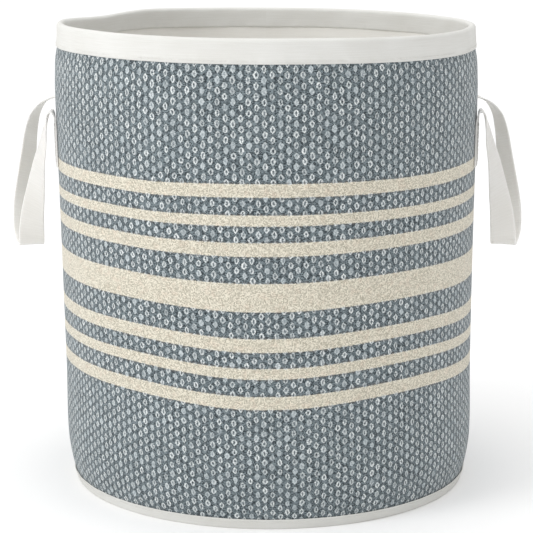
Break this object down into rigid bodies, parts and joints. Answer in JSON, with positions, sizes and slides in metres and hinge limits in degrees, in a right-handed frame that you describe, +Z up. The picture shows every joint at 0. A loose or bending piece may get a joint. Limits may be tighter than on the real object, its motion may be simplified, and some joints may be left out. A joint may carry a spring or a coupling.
{
  "type": "laundry hamper",
  "caption": "Round soft-sided fabric laundry hamper with a stiffened woven wall, folded canvas rim band and swinging strap handles.",
  "frame": {"origin": "centre of the base on the floor", "axes": "+Z up along the hamper's axis, +X towards the right handle, -Y towards the front"},
  "size_m": [0.501, 0.4052, 0.445],
  "materials": {
    "woven_fabric": "coarse jacquard weave, pale diamond rings on blue-grey, cream stripes",
    "stiffener_felt": "pressed non-woven felt",
    "lining": "fine plain weave",
    "canvas": "white cotton canvas",
    "strap": "flat white cotton strap",
    "thread": "white sewing thread",
    "board": "pressed fibre board",
    "spring_steel": "bright drawn spring wire"
  },
  "bodies": {
    "root": {"outer_panel": "woven_fabric", "wall_stiffener": "stiffener_felt", "liner_panel": "lining", "base_outer_disc": "canvas", "base_board": "board", "base_liner_disc": "lining", "bottom_binding": "canvas", "bottom_binding_stitching": "thread", "top_band": "canvas", "top_band_stitching": "thread", "top_hoop": "spring_steel", "hoop_ferrule": "spring_steel", "left_handle_front_tab": "strap", "left_handle_back_tab": "strap", "left_handle_front_stitching": "thread", "left_handle_back_stitching": "thread", "right_handle_front_tab": "strap", "right_handle_back_tab": "strap", "right_handle_front_stitching": "thread", "right_handle_back_stitching": "thread"},
    "left_handle": {"left_handle_loop": "strap"},
    "right_handle": {"right_handle_loop": "strap"}
  },
  "joints": [
    {"name": "left_handle_swing", "type": "hinge", "parent": "root", "child": "left_handle", "pos_m": [-0.20615, 0.0305, 0.3615], "axis": [-0.0057, 1, 0], "range_deg": [-5, 140]},
    {"name": "right_handle_swing", "type": "hinge", "parent": "root", "child": "right_handle", "pos_m": [0.20615, 0.0305, 0.3615], "axis": [-0.0057, -1, 0], "range_deg": [-5, 140]}
  ]
}
